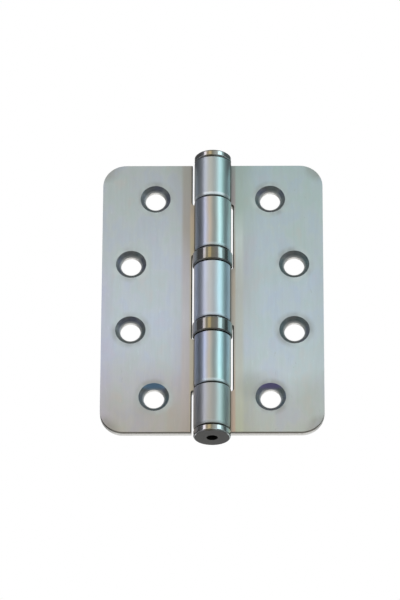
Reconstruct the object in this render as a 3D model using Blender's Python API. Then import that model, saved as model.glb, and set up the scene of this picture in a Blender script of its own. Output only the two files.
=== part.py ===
"""Loose pin butt hinge with two ball thrust bearings, opened flat.

Metres, +Z up along the pin. The origin is on the pin's axis, halfway up. The leaves open along X, and their
countersunk front faces look along -Y. The right leaf (+X) carries three knuckles and the left leaf two.
"""

import math

import bmesh
import bpy
from mathutils import Matrix

# Leaves, each one a stamped sheet with its knuckles curled round the pin
LEAF_HEIGHT = 0.102
LEAF_WIDTH = 0.038
LEAF_THICKNESS = 0.003
LEAF_CORNER_RADIUS = 0.008
FACE_SETBACK = 0.001
SWAGE_START = 0.0014
SWAGE_RADIUS = 0.0085
CURL_END_GAP = 0.0003

# Knuckles and the notches between them
INNER_KNUCKLE_LENGTH = 0.0192
MIDDLE_KNUCKLE_LENGTH = 0.0212
KNUCKLE_END_PLAY = 0.0003
KNUCKLE_CHAMFER = 0.0004
NOTCH_TO_SHELL_GAP = 0.00025
NOTCH_FILLET_RADIUS = 0.0006

# Screw holes, four in each leaf, with 90 degree countersinks
SCREW_HOLE_RADIUS = 0.0035
COUNTERSINK_DEPTH = 0.0017
END_HOLE_OFFSET = 0.0198
END_HOLE_HEIGHT = 0.0379
MIDDLE_HOLE_OFFSET = 0.028
MIDDLE_HOLE_HEIGHT = 0.0126

# Pin, and the plug that closes the bottom knuckle
PIN_RADIUS = 0.00325
PIN_CLEARANCE = 0.0001
PIN_TIP_CHAMFER = 0.001
CAP_HEIGHT = 0.0025
CAP_CHAMFER = 0.0004
CAP_SEAT_GAP = 0.00015
PLUG_SPIGOT_LENGTH = 0.007
PLUG_SPIGOT_CLEARANCE = 0.00005
PLUG_SPIGOT_CHAMFER = 0.0005
PLUG_TO_PIN_GAP = 0.0005
KNOCKOUT_HOLE_RADIUS = 0.0019

# Ball thrust bearings
BEARING_HEIGHT = 0.0052
BEARING_FACE_GAP = 0.00025
SHELL_PROUD_OF_BARREL = 0.0005
SHELL_WALL = 0.0006
SHELL_LIP_THICKNESS = 0.0006
SHELL_LIP_REACH = 0.0014
SHELL_CHAMFER = 0.0004
SHELL_TOP_STEP = 0.0003
RACE_BORE_CLEARANCE = 0.00025
RACE_SHELL_CLEARANCE = 0.00015
RACE_SEAT_GAP = 0.00015
RACE_GROOVE_DEPTH = 0.0002
BALL_RADIUS = 0.0008
BALL_CLEARANCE = 0.00006
BALLS_PER_BEARING = 10
CAGE_THICKNESS = 0.0005
CAGE_SIDE_CLEARANCE = 0.00025
CAGE_POCKET_CLEARANCE = 0.0001

# How far a cutter reaches past the faces that it cuts, and how close points are to be one
CUT_OVERRUN = 0.001
WELD_DISTANCE = 0.000001

# Steps in round shapes, and the angle from which an edge shows as sharp
ROUND_STEPS = 40
SWAGE_STEPS = 4
CORNER_STEPS = 8
FILLET_STEPS = 3
HOLE_STEPS = 28
BEARING_STEPS = 36
GROOVE_STEPS = 5
POCKET_STEPS = 12
BALL_SEGMENTS = 12
BALL_RINGS = 7
SMOOTH_ANGLE = math.radians(35)

# Sizes that follow from those above
BORE_RADIUS = PIN_RADIUS + PIN_CLEARANCE
BARREL_RADIUS = BORE_RADIUS + LEAF_THICKNESS
FACE_BACK = FACE_SETBACK + LEAF_THICKNESS
SHELL_RADIUS = BARREL_RADIUS + SHELL_PROUD_OF_BARREL
NOTCH_EDGE = SHELL_RADIUS + NOTCH_TO_SHELL_GAP
BEARING_SPACE = BEARING_HEIGHT + 2 * BEARING_FACE_GAP
BEARING_CENTRE_HEIGHT = MIDDLE_KNUCKLE_LENGTH / 2 + BEARING_SPACE / 2
SHELL_BORE_RADIUS = SHELL_RADIUS - SHELL_WALL
SHELL_LIP_BORE_RADIUS = SHELL_BORE_RADIUS - SHELL_LIP_REACH
RACE_BORE_RADIUS = PIN_RADIUS + RACE_BORE_CLEARANCE
RACE_RADIUS = SHELL_BORE_RADIUS - RACE_SHELL_CLEARANCE
BALL_PITCH_RADIUS = (RACE_BORE_RADIUS + RACE_RADIUS) / 2
GROOVE_RADIUS = BALL_RADIUS + BALL_CLEARANCE
RACE_SPACING = 2 * (GROOVE_RADIUS - RACE_GROOVE_DEPTH)


def steel(name, colour, roughness):
    """A metal material of one colour."""
    material = bpy.data.materials.new(name)
    material.use_nodes = True
    shader = material.node_tree.nodes["Principled BSDF"]
    shader.inputs["Base Color"].default_value = (*colour, 1)
    shader.inputs["Metallic"].default_value = 1
    shader.inputs["Roughness"].default_value = roughness
    return material


def arc(centre, radius, start, end, steps):
    """Points of an arc from one angle to the other, in degrees, both ends included."""
    angles = [math.radians(start + (end - start) * i / steps) for i in range(steps + 1)]
    return [(centre[0] + radius * math.cos(a), centre[1] + radius * math.sin(a)) for a in angles]


def new_object(name, bm, material=None):
    """Turns a bmesh of closed bodies into an object whose faces point outwards."""
    bmesh.ops.remove_doubles(bm, verts=bm.verts, dist=WELD_DISTANCE)
    bmesh.ops.recalc_face_normals(bm, faces=bm.faces)
    mesh = bpy.data.meshes.new(name)
    bm.to_mesh(mesh)
    bm.free()
    made = bpy.data.objects.new(name, mesh)
    bpy.context.scene.collection.objects.link(made)
    if material:
        mesh.materials.append(material)
    mesh.shade_smooth()
    mesh.set_sharp_from_angle(angle=SMOOTH_ANGLE)
    return made


def add_prism(bm, outline, axis, low, high):
    """Adds a closed outline extruded along Z, or for axis Y, an outline in X and Z extruded along Y."""
    def place(point, depth):
        return (*point, depth) if axis == "Z" else (point[0], depth, point[1])

    near = [bm.verts.new(place(point, low)) for point in outline]
    far = [bm.verts.new(place(point, high)) for point in outline]
    bm.faces.new(near)
    bm.faces.new(far)
    for i in range(len(outline)):
        bm.faces.new((near[i - 1], near[i], far[i], far[i - 1]))


def add_turned(bm, profile, steps, closed=True):
    """Adds a profile of (radius, height) points turned once round Z. An open one ends on the axis."""
    ring = [bm.verts.new((radius, 0, height)) for radius, height in profile]
    pairs = list(zip(ring, ring[1:]))
    if closed:
        pairs.append((ring[-1], ring[0]))
    edges = [bm.edges.new(pair) for pair in pairs]
    bmesh.ops.spin(bm, geom=ring + edges, axis=(0, 0, 1), angle=math.tau, steps=steps, use_merge=True)


def use_cutter(target, cutter, operation="DIFFERENCE"):
    """Cuts an object with another one, which is a hidden guide from then on."""
    cutter.hide_render = True
    cutter.display_type = "WIRE"
    cut = target.modifiers.new(cutter.name, "BOOLEAN")
    cut.operation = operation
    cut.object = cutter


def apply_modifiers(made):
    """Gives an object the mesh that its modifiers make, and drops the modifiers."""
    graph = bpy.context.evaluated_depsgraph_get()
    old = made.data
    made.data = bpy.data.meshes.new_from_object(made.evaluated_get(graph))
    made.modifiers.clear()
    bpy.data.meshes.remove(old)


def knuckle_spans():
    """Lowest and highest Z of the five knuckles, from the top one down."""
    middle = MIDDLE_KNUCKLE_LENGTH / 2
    inner_low = middle + BEARING_SPACE
    inner_high = inner_low + INNER_KNUCKLE_LENGTH
    outer = (inner_high + KNUCKLE_END_PLAY, LEAF_HEIGHT / 2)
    inner = (inner_low, inner_high)
    return [outer, inner, (-middle, middle), (-inner[1], -inner[0]), (-outer[1], -outer[0])]


def curl_end_angle(swage_centre, swage_front_radius):
    """Where the curl stops, in degrees past +X, to leave its gap to the front of its own leaf."""
    reach = math.hypot(*swage_centre)
    apart = swage_front_radius + CURL_END_GAP
    cosine = (BARREL_RADIUS ** 2 + reach ** 2 - apart ** 2) / (2 * BARREL_RADIUS * reach)
    return math.degrees(math.atan2(swage_centre[1], swage_centre[0]) - math.acos(cosine))


def leaf_section():
    """The right leaf's section in X and Y: a flat sheet, a double bend, and the curl round the pin."""
    half = LEAF_THICKNESS / 2
    barrel_middle = BORE_RADIUS + half
    face_middle = FACE_SETBACK + half
    bend = math.degrees(math.acos(1 - (barrel_middle - face_middle) / (2 * SWAGE_RADIUS)))
    first = (SWAGE_START, barrel_middle - SWAGE_RADIUS)
    swage_end = SWAGE_START + 2 * SWAGE_RADIUS * math.sin(math.radians(bend))
    second = (swage_end, face_middle + SWAGE_RADIUS)
    inner, outer = SWAGE_RADIUS - half, SWAGE_RADIUS + half
    curl_end = 360 + curl_end_angle(second, outer)
    curl_steps = round(ROUND_STEPS * (curl_end - 90) / 360)
    front = [(LEAF_WIDTH, FACE_SETBACK)]
    front += arc(second, outer, 270, 270 - bend, SWAGE_STEPS)
    front += arc(first, inner, 90 - bend, 90, SWAGE_STEPS)[1:]
    front += arc((0, 0), BORE_RADIUS, 90, curl_end, curl_steps)
    back = arc((0, 0), BARREL_RADIUS, curl_end, 90, curl_steps)
    back += arc(first, outer, 90, 90 - bend, SWAGE_STEPS)
    back += arc(second, inner, 270 - bend, 270, SWAGE_STEPS)[1:]
    back += [(LEAF_WIDTH, FACE_BACK)]
    return front + back


def leaf_blank(own_knuckles):
    """The right leaf's outline in X and Z, with a notch wherever the other leaf's knuckles go."""
    top = LEAF_HEIGHT / 2
    past_barrel = -BARREL_RADIUS - CUT_OVERRUN
    corner_x = LEAF_WIDTH - LEAF_CORNER_RADIUS
    corner_z = top - LEAF_CORNER_RADIUS
    fillet_x = NOTCH_EDGE - NOTCH_FILLET_RADIUS
    outline = arc((corner_x, -corner_z), LEAF_CORNER_RADIUS, 270, 360, CORNER_STEPS)
    outline += arc((corner_x, corner_z), LEAF_CORNER_RADIUS, 0, 90, CORNER_STEPS)
    level = top
    for low, high in own_knuckles:
        if level == top and high < top:
            outline.append((NOTCH_EDGE, top))
        elif high < top:
            centre = (fillet_x, level - NOTCH_FILLET_RADIUS)
            outline += arc(centre, NOTCH_FILLET_RADIUS, 90, 0, FILLET_STEPS)
        if high < top:
            centre = (fillet_x, high + NOTCH_FILLET_RADIUS)
            outline += arc(centre, NOTCH_FILLET_RADIUS, 0, -90, FILLET_STEPS)
        outline += [(past_barrel, high), (past_barrel, low)]
        level = low
    if level > -top:
        centre = (fillet_x, level - NOTCH_FILLET_RADIUS)
        outline += arc(centre, NOTCH_FILLET_RADIUS, 90, 0, FILLET_STEPS)
        outline.append((NOTCH_EDGE, -top))
    return outline


def screw_hole_places():
    """X and Z of the four screw holes in the right leaf."""
    middle = [(MIDDLE_HOLE_OFFSET, side * MIDDLE_HOLE_HEIGHT) for side in (-1, 1)]
    return middle + [(END_HOLE_OFFSET, side * END_HOLE_HEIGHT) for side in (-1, 1)]


def add_screw_holes(bm):
    """Adds the cutters of four countersunk holes, wide end at the front face."""
    rim = SCREW_HOLE_RADIUS + COUNTERSINK_DEPTH
    profile = [
        (0, FACE_SETBACK - CUT_OVERRUN),
        (rim + CUT_OVERRUN, FACE_SETBACK - CUT_OVERRUN),
        (SCREW_HOLE_RADIUS, FACE_SETBACK + COUNTERSINK_DEPTH),
        (SCREW_HOLE_RADIUS, FACE_BACK + CUT_OVERRUN),
        (0, FACE_BACK + CUT_OVERRUN),
    ]
    for x, z in screw_hole_places():
        hole = bmesh.new()
        add_turned(hole, profile, HOLE_STEPS, closed=False)
        bmesh.ops.transform(hole, matrix=Matrix.Rotation(math.radians(-90), 4, "X"), verts=hole.verts)
        bmesh.ops.translate(hole, vec=(x, 0, z), verts=hole.verts)
        guide = bpy.data.meshes.new("screw_hole_guide")
        hole.to_mesh(guide)
        hole.free()
        bm.from_mesh(guide)
        bpy.data.meshes.remove(guide)


def is_barrel_rim(edge, ends):
    """Whether an edge lies on the outside of the barrel, at the end of a knuckle."""
    at_end = any(all(abs(vert.co.z - end) < WELD_DISTANCE for vert in edge.verts) for end in ends)
    reach = min(vert.co.xy.length for vert in edge.verts)
    return at_end and abs(reach - BARREL_RADIUS) < WELD_DISTANCE


def make_leaf(name, side, own_knuckles, material):
    """One leaf: side 1 is the right one, and side -1 its mirror image with other knuckles."""
    top = LEAF_HEIGHT / 2
    bm = bmesh.new()
    add_prism(bm, leaf_section(), "Z", -top - CUT_OVERRUN, top + CUT_OVERRUN)
    leaf = new_object(name, bm, material)
    bm = bmesh.new()
    add_prism(bm, leaf_blank(own_knuckles), "Y", -BARREL_RADIUS - CUT_OVERRUN, BARREL_RADIUS + CUT_OVERRUN)
    blank = new_object(name + "_blank", bm)
    bm = bmesh.new()
    add_screw_holes(bm)
    holes = new_object(name + "_holes", bm)
    use_cutter(leaf, blank, "INTERSECT")
    use_cutter(leaf, holes)
    apply_modifiers(leaf)
    bpy.data.objects.remove(blank)
    bpy.data.objects.remove(holes)

    bm = bmesh.new()
    bm.from_mesh(leaf.data)
    ends = [z for span in own_knuckles for z in span]
    rims = [edge for edge in bm.edges if is_barrel_rim(edge, ends)]
    bmesh.ops.bevel(bm, geom=rims, offset=KNUCKLE_CHAMFER, segments=1, affect="EDGES")
    bmesh.ops.scale(bm, vec=(side, 1, 1), verts=bm.verts)
    bmesh.ops.recalc_face_normals(bm, faces=bm.faces)
    bm.to_mesh(leaf.data)
    bm.free()
    leaf.data.shade_smooth()
    leaf.data.set_sharp_from_angle(angle=SMOOTH_ANGLE)
    return leaf


def make_pin(material):
    """The loose pin: a round shank with a bevelled tip, and the flat head that is the top cap."""
    seat = LEAF_HEIGHT / 2 + CAP_SEAT_GAP
    top = seat + CAP_HEIGHT
    tip = -LEAF_HEIGHT / 2 + PLUG_SPIGOT_LENGTH + PLUG_TO_PIN_GAP
    profile = [
        (0, tip),
        (PIN_RADIUS - PIN_TIP_CHAMFER, tip),
        (PIN_RADIUS, tip + PIN_TIP_CHAMFER),
        (PIN_RADIUS, seat),
        (BARREL_RADIUS - CAP_CHAMFER, seat),
        (BARREL_RADIUS, seat + CAP_CHAMFER),
        (BARREL_RADIUS, top - CAP_CHAMFER),
        (BARREL_RADIUS - CAP_CHAMFER, top),
        (0, top),
    ]
    bm = bmesh.new()
    add_turned(bm, profile, ROUND_STEPS, closed=False)
    return new_object("hinge_pin", bm, material)


def make_plug(material):
    """The bottom plug: a flange under the barrel, a spigot in its bore, and a knock-out hole."""
    seat = -LEAF_HEIGHT / 2 - CAP_SEAT_GAP
    bottom = seat - CAP_HEIGHT
    spigot_top = -LEAF_HEIGHT / 2 + PLUG_SPIGOT_LENGTH
    spigot_radius = BORE_RADIUS - PLUG_SPIGOT_CLEARANCE
    profile = [
        (KNOCKOUT_HOLE_RADIUS, bottom),
        (BARREL_RADIUS - CAP_CHAMFER, bottom),
        (BARREL_RADIUS, bottom + CAP_CHAMFER),
        (BARREL_RADIUS, seat - CAP_CHAMFER),
        (BARREL_RADIUS - CAP_CHAMFER, seat),
        (spigot_radius, seat),
        (spigot_radius, spigot_top - PLUG_SPIGOT_CHAMFER),
        (spigot_radius - PLUG_SPIGOT_CHAMFER, spigot_top),
        (KNOCKOUT_HOLE_RADIUS, spigot_top),
    ]
    bm = bmesh.new()
    add_turned(bm, profile, ROUND_STEPS)
    return new_object("bottom_plug", bm, material)


def make_shell(name, bottom, material):
    """A bearing's outer ring, drawn from sheet, with a lip inwards under the lower race."""
    top = bottom + BEARING_HEIGHT - SHELL_TOP_STEP
    profile = [
        (SHELL_LIP_BORE_RADIUS, bottom),
        (SHELL_RADIUS - SHELL_CHAMFER, bottom),
        (SHELL_RADIUS, bottom + SHELL_CHAMFER),
        (SHELL_RADIUS, top - SHELL_CHAMFER),
        (SHELL_RADIUS - SHELL_CHAMFER, top),
        (SHELL_BORE_RADIUS, top),
        (SHELL_BORE_RADIUS, bottom + SHELL_LIP_THICKNESS),
        (SHELL_LIP_BORE_RADIUS, bottom + SHELL_LIP_THICKNESS),
    ]
    bm = bmesh.new()
    add_turned(bm, profile, BEARING_STEPS)
    return new_object(name, bm, material)


def make_race(name, outer_face, ball_height, material):
    """A race from its outer face to its ball groove, above or below the balls' height."""
    up = 1 if outer_face > ball_height else -1
    groove_half = math.degrees(math.acos((GROOVE_RADIUS - RACE_GROOVE_DEPTH) / GROOVE_RADIUS))
    inner_face = ball_height + up * RACE_SPACING / 2
    groove = arc(
        (BALL_PITCH_RADIUS, ball_height),
        GROOVE_RADIUS,
        up * 90 + up * groove_half,
        up * 90 - up * groove_half,
        GROOVE_STEPS,
    )
    profile = [(RACE_BORE_RADIUS, inner_face), *groove, (RACE_RADIUS, inner_face)]
    profile += [(RACE_RADIUS, outer_face), (RACE_BORE_RADIUS, outer_face)]
    bm = bmesh.new()
    add_turned(bm, profile, BEARING_STEPS)
    return new_object(name, bm, material)


def make_cage(name, ball_height, material):
    """The flat ring that keeps the balls apart, with a round pocket for each."""
    low, high = ball_height - CAGE_THICKNESS / 2, ball_height + CAGE_THICKNESS / 2
    outer = SHELL_BORE_RADIUS - CAGE_SIDE_CLEARANCE
    inner = PIN_RADIUS + CAGE_SIDE_CLEARANCE
    bm = bmesh.new()
    add_turned(bm, [(inner, low), (outer, low), (outer, high), (inner, high)], BEARING_STEPS)
    cage = new_object(name, bm, material)
    bm = bmesh.new()
    for x, y in ball_places():
        pocket = arc((x, y), BALL_RADIUS + CAGE_POCKET_CLEARANCE, 0, 360, POCKET_STEPS)[:-1]
        add_prism(bm, pocket, "Z", low - CUT_OVERRUN, high + CUT_OVERRUN)
    use_cutter(cage, new_object(name + "_pockets", bm))
    return cage


def ball_places():
    """X and Y of the balls of one bearing."""
    return arc((0, 0), BALL_PITCH_RADIUS, 0, 360, BALLS_PER_BEARING)[:-1]


def make_bearing(prefix, centre_height, polished, hard, cage_steel):
    """One thrust bearing, with its outer ring's lip underneath."""
    bottom = centre_height - BEARING_HEIGHT / 2
    top = centre_height + BEARING_HEIGHT / 2
    seat = bottom + SHELL_LIP_THICKNESS + RACE_SEAT_GAP
    ball_height = (seat + top) / 2
    make_shell(prefix + "_bearing_shell", bottom, polished)
    make_race(prefix + "_bearing_top_race", top, ball_height, hard)
    make_race(prefix + "_bearing_bottom_race", seat, ball_height, hard)
    make_cage(prefix + "_bearing_ball_cage", ball_height, cage_steel)
    for i, (x, y) in enumerate(ball_places()):
        bm = bmesh.new()
        bmesh.ops.create_uvsphere(bm, u_segments=BALL_SEGMENTS, v_segments=BALL_RINGS, radius=BALL_RADIUS)
        ball = new_object(f"{prefix}_bearing_ball_{i + 1:02d}", bm, hard)
        ball.location = (x, y, ball_height)


def main():
    for old in list(bpy.data.objects):
        bpy.data.objects.remove(old)

    knuckles = knuckle_spans()
    brushed_left = steel("brushed_stainless_left", (0.43, 0.43, 0.46), 0.38)
    brushed_right = steel("brushed_stainless_right", (0.46, 0.48, 0.48), 0.36)
    turned_steel = steel("satin_turned_steel", (0.50, 0.51, 0.52), 0.25)
    polished = steel("polished_steel", (0.62, 0.62, 0.60), 0.12)
    hard = steel("ground_bearing_steel", (0.56, 0.57, 0.58), 0.15)
    cage_steel = steel("pressed_cage_steel", (0.42, 0.41, 0.38), 0.4)

    make_leaf("right_leaf", 1, knuckles[0::2], brushed_right)
    make_leaf("left_leaf", -1, knuckles[1::2], brushed_left)
    make_pin(turned_steel)
    make_plug(turned_steel)
    make_bearing("upper", BEARING_CENTRE_HEIGHT, polished, hard, cage_steel)
    make_bearing("lower", -BEARING_CENTRE_HEIGHT, polished, hard, cage_steel)


main()
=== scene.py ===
import math

import bmesh
import bpy
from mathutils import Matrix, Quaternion, Vector


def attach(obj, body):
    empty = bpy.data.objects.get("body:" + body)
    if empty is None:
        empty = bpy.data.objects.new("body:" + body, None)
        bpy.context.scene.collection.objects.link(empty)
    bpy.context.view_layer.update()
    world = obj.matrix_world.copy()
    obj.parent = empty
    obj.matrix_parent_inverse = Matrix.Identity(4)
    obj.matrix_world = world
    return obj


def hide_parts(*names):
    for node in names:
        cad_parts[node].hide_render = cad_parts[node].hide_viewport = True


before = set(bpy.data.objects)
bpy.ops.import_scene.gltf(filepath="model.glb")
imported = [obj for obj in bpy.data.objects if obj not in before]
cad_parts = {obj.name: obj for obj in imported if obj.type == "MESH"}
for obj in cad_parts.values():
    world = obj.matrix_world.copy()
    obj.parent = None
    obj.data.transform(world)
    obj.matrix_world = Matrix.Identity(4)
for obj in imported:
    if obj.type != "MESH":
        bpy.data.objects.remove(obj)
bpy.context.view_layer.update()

# sizes shared by the pieces, in metres, as in the solids
pinRadius = 0.00325
boreRadius = 0.00335
barrelRadius = 0.00635
leafTop = 0.051
topKnuckle = (0.0358, 0.051)
innerKnuckle = (0.0163, 0.0355)
middleKnuckle = (-0.0106, 0.0106)
mergeDistance = 0.000002
cutMergeDistance = 0.00002          # after cuts, which leave points close together
turnedSides = 96                    # of everything that comes off the lathe
margin = 0.0001                     # by which a test or a cut goes past an edge
flatAngle = math.radians(0.4)       # faces that lie this close to one plane are joined


def letGo():
    if bpy.context.object and bpy.context.object.mode != "OBJECT":
        bpy.ops.object.mode_set(mode="OBJECT")
    bpy.ops.object.select_all(action="DESELECT")


def takeUp(piece):
    letGo()
    bpy.context.view_layer.objects.active = piece
    piece.select_set(True)


def settle():
    bpy.ops.object.transform_apply(location=True, rotation=True, scale=True)


def chooseFaces(test):
    # test gets a face's middle and its normal
    bpy.ops.mesh.select_mode(type="FACE")
    bpy.ops.mesh.select_all(action="DESELECT")
    mesh = bmesh.from_edit_mesh(bpy.context.object.data)
    for face in mesh.faces:
        face.select_set(bool(test(face.calc_center_median(), face.normal)))
    bmesh.update_edit_mesh(bpy.context.object.data)


def chooseEdges(test):
    # test gets an edge's two ends
    bpy.ops.mesh.select_mode(type="EDGE")
    bpy.ops.mesh.select_all(action="DESELECT")
    mesh = bmesh.from_edit_mesh(bpy.context.object.data)
    for edge in mesh.edges:
        edge.select_set(bool(test(*(vert.co for vert in edge.verts))))
    bmesh.update_edit_mesh(bpy.context.object.data)


def close(a, b, by=0.00002):
    return abs(a - b) < by


def mergeDoubles(distance=mergeDistance):
    bpy.ops.mesh.select_all(action="SELECT")
    bpy.ops.mesh.remove_doubles(threshold=distance)


def useModifier(piece, kind, **settings):
    takeUp(piece)
    modifier = piece.modifiers.new(kind.title(), kind)
    for name, value in settings.items():
        setattr(modifier, name, value)
    bpy.ops.object.modifier_apply(modifier=modifier.name)


def cutWith(piece, cutter):
    useModifier(piece, "BOOLEAN", operation="DIFFERENCE", solver="EXACT", object=cutter)
    bpy.data.objects.remove(cutter)


def smoothOff(piece, angle):
    takeUp(piece)
    bpy.ops.object.shade_smooth_by_angle(angle=math.radians(angle))
    useModifier(piece, "WEIGHTED_NORMAL", mode="FACE_AREA", weight=60, keep_sharp=True)


def finishFaces(piece, index, test):
    takeUp(piece)
    bpy.ops.object.mode_set(mode="EDIT")
    chooseFaces(test)
    piece.active_material_index = index
    bpy.ops.object.material_slot_assign()
    bpy.ops.object.mode_set(mode="OBJECT")


def hexColour(text, alpha=1.0):
    parts = [int(text[i:i + 2], 16) / 255 for i in (1, 3, 5)]
    linear = [c / 12.92 if c <= 0.04045 else ((c + 0.055) / 1.055) ** 2.4 for c in parts]
    return (*linear, alpha)


def addNode(tree, kind, inputs=None, output=0, stops=(), **settings):
    # one node with its settings, links and colour stops; gives back the output that is used next
    node = tree.nodes.new(kind)
    for name, value in settings.items():
        setattr(node, name, value)
    for name, value in (inputs or {}).items():
        if isinstance(value, bpy.types.NodeSocket):
            tree.links.new(value, node.inputs[name])
        else:
            node.inputs[name].default_value = value
    for i, (at, *colour) in enumerate(stops):
        ramp = node.color_ramp.elements
        stop = ramp[i] if i < len(ramp) else ramp.new(at)
        stop.position = at
        stop.color = hexColour(*colour)
    return node.outputs[output] if node.outputs else None


def grains(*sizes):
    # scale of a noise whose grains measure so many millimetres along x, y and z
    return [1000 / size for size in sizes]


def newMetal(name):
    material = bpy.data.materials.new(name)
    material.use_nodes = True
    return material, material.node_tree, addNode(material.node_tree, "ShaderNodeTexCoord", output="Object")


def finishMetal(material, colour, rough, relief, strength, height):
    # links a finish to its shader, with a fine relief of the given height in metres
    tree = material.node_tree
    shader = tree.nodes["Principled BSDF"]
    shader.inputs["Metallic"].default_value = 1
    bump = addNode(tree, "ShaderNodeBump", {"Strength": strength, "Distance": height, "Height": relief})
    for name, value in (("Base Color", colour), ("Roughness", rough), ("Normal", bump)):
        tree.links.new(value, shader.inputs[name])
    return material


def spotRound(tree, place, middle, start, end, strength):
    # full strength up to start from the middle, fading to nothing at end
    away = addNode(tree, "ShaderNodeVectorMath", {0: place, 1: middle}, output="Value", operation="DISTANCE")
    return addNode(tree, "ShaderNodeMapRange", {
        "Value": away, "From Min": start, "From Max": end, "To Min": strength, "To Max": 0},
        interpolation_type="SMOOTHSTEP")


# Stops run up the leaf, or round the barrel from the back by the left, the front and the right.
# A third value is how strongly the haze beside the barrel covers the sheet
leftLook = {
    "upTheLeaf": [(0.0, "#cabeb2"), (0.1, "#ccc4bd"), (0.18, "#d6d3d4"), (0.27, "#dde5ee"), (0.42, "#dfe9f4"),
                  (0.60, "#dbe4ec"), (0.74, "#d1dadd"), (0.88, "#cbd3d6"), (1.0, "#c6cdcd")],
    "haze": [(0.0, "#c2b4a4", 0.5), (0.16, "#ccbfba", 0.5), (0.34, "#d4cdd6", 0.35),
             (0.5, "#d8d8e2", 0.2), (0.75, "#c6c8cc", 0.1), (1.0, "#b5b6ae", 0.35)],
    # these two bands are film colour with a painted reflection and painted shade of the bend beside the
    # barrel
    "besideBarrelFilmAndReflection": [(0.0, "#c9beb0"), (0.2, "#d8cecb"), (0.45, "#e0dce0"), (0.62, "#d0cacb"),
                     (0.75, "#c0b7ae"), (1.0, "#b8b6ae")],
    "nearBarrelFilmAndReflection": [(0.0, "#cdc3b4"), (0.2, "#dcd2bc"), (0.4, "#dedac8"), (0.6, "#dad0bc"),
                   (0.70, "#dcd0b2"), (0.80, "#dccbb4"), (0.86, "#b8b3a8"), (1.0, "#b4b1a8")],
    "rim": "#d6cdea",
    "worn": (-0.0225, 0.001, -0.0405),      # middle of the rubbed place
    "wornStrength": 0.1,
    # painted highlights and painted shade round the barrel, where the softboxes and dark cards are reflected
    "paintedSheenRoundBarrel": [(0.0, "#c4c6ca"), (0.25, "#bcc0c6"), (0.345, "#a4aab6"), (0.428, "#ccd2e4"),
                    (0.472, "#d0c8c0"), (0.514, "#b4bcb8"), (0.555, "#cde4e4"), (0.59, "#b8d6d6"),
                    (0.635, "#c2d2d4"), (0.75, "#c8ced0"), (1.0, "#c4c6ca")],
    "upTheBarrel": [(0.0, "#fbfff8"), (0.25, "#f4faff"), (0.4, "#fbfbff"),
                    (0.6, "#fafafa"), (1.0, "#fcfaf6")],
    "barrelRoughness": 0.35,
    "lowerEnds": [(innerKnuckle[0], 0.05), (-innerKnuckle[1], 0.25)],      # and how strong the painted highlight is on each
}
rightLook = {
    "upTheLeaf": [(0.0, "#d4d2c8"), (0.12, "#d4d7d3"), (0.22, "#e2edf3"), (0.36, "#dbeaf1"),
                  (0.56, "#d5e5ef"), (0.74, "#cfe0e2"), (1.0, "#c0d6d6")],
    "haze": [(0.0, "#c2c2a8", 0.45), (0.16, "#ccd0bc", 0.55), (0.34, "#d4dcdc", 0.2), (0.5, "#cdc6c2", 0.4),
             (0.64, "#cdc8c4", 0.4), (0.76, "#c6d6cf", 0.5), (1.0, "#b0c4bd", 0.55)],
    # these two bands are film colour with a painted reflection and painted shade of the bend beside the
    # barrel
    "besideBarrelFilmAndReflection": [(0.0, "#d8dac1"), (0.2, "#e1e2d6"), (0.5, "#d7dbd5"), (0.72, "#e6f2ef"),
                     (0.86, "#c4d7d0"), (1.0, "#bccdc9")],
    "nearBarrelFilmAndReflection": [(0.0, "#e2c6b2"), (0.2, "#dfcbba"), (0.36, "#d4d0c8"), (0.5, "#d6c9b8"),
                   (0.66, "#d4c8bc"), (0.8, "#d2d8d4"), (0.88, "#bdb4b4"), (1.0, "#adb8b4")],
    "rim": "#cfdcdc",
    "worn": (0.0130, 0.001, -0.0335),
    "wornStrength": 0.19,
    # painted highlights and painted shade round the barrel, where the softboxes and dark cards are reflected
    "paintedSheenRoundBarrel": [(0.0, "#c8cacc"), (0.25, "#c8ccd2"), (0.345, "#c6ccd6"), (0.425, "#e2e6ef"),
                    (0.472, "#dadcdb"), (0.514, "#d8dddc"), (0.56, "#d6ecee"), (0.60, "#c8e4e2"),
                    (0.65, "#c4d2d6"), (0.75, "#c8d0d2"), (1.0, "#c8cacc")],
    "upTheBarrel": [(0.0, "#dedbd6"), (0.28, "#e2e0e0"), (0.38, "#f4f4fb"), (0.6, "#f6f9ff"),
                    (0.72, "#eef0ef"), (1.0, "#ecefee")],
    "barrelRoughness": 0.41,
    "lowerEnds": [(topKnuckle[0], 0.6), (middleKnuckle[0], 0.1)],
}
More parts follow.
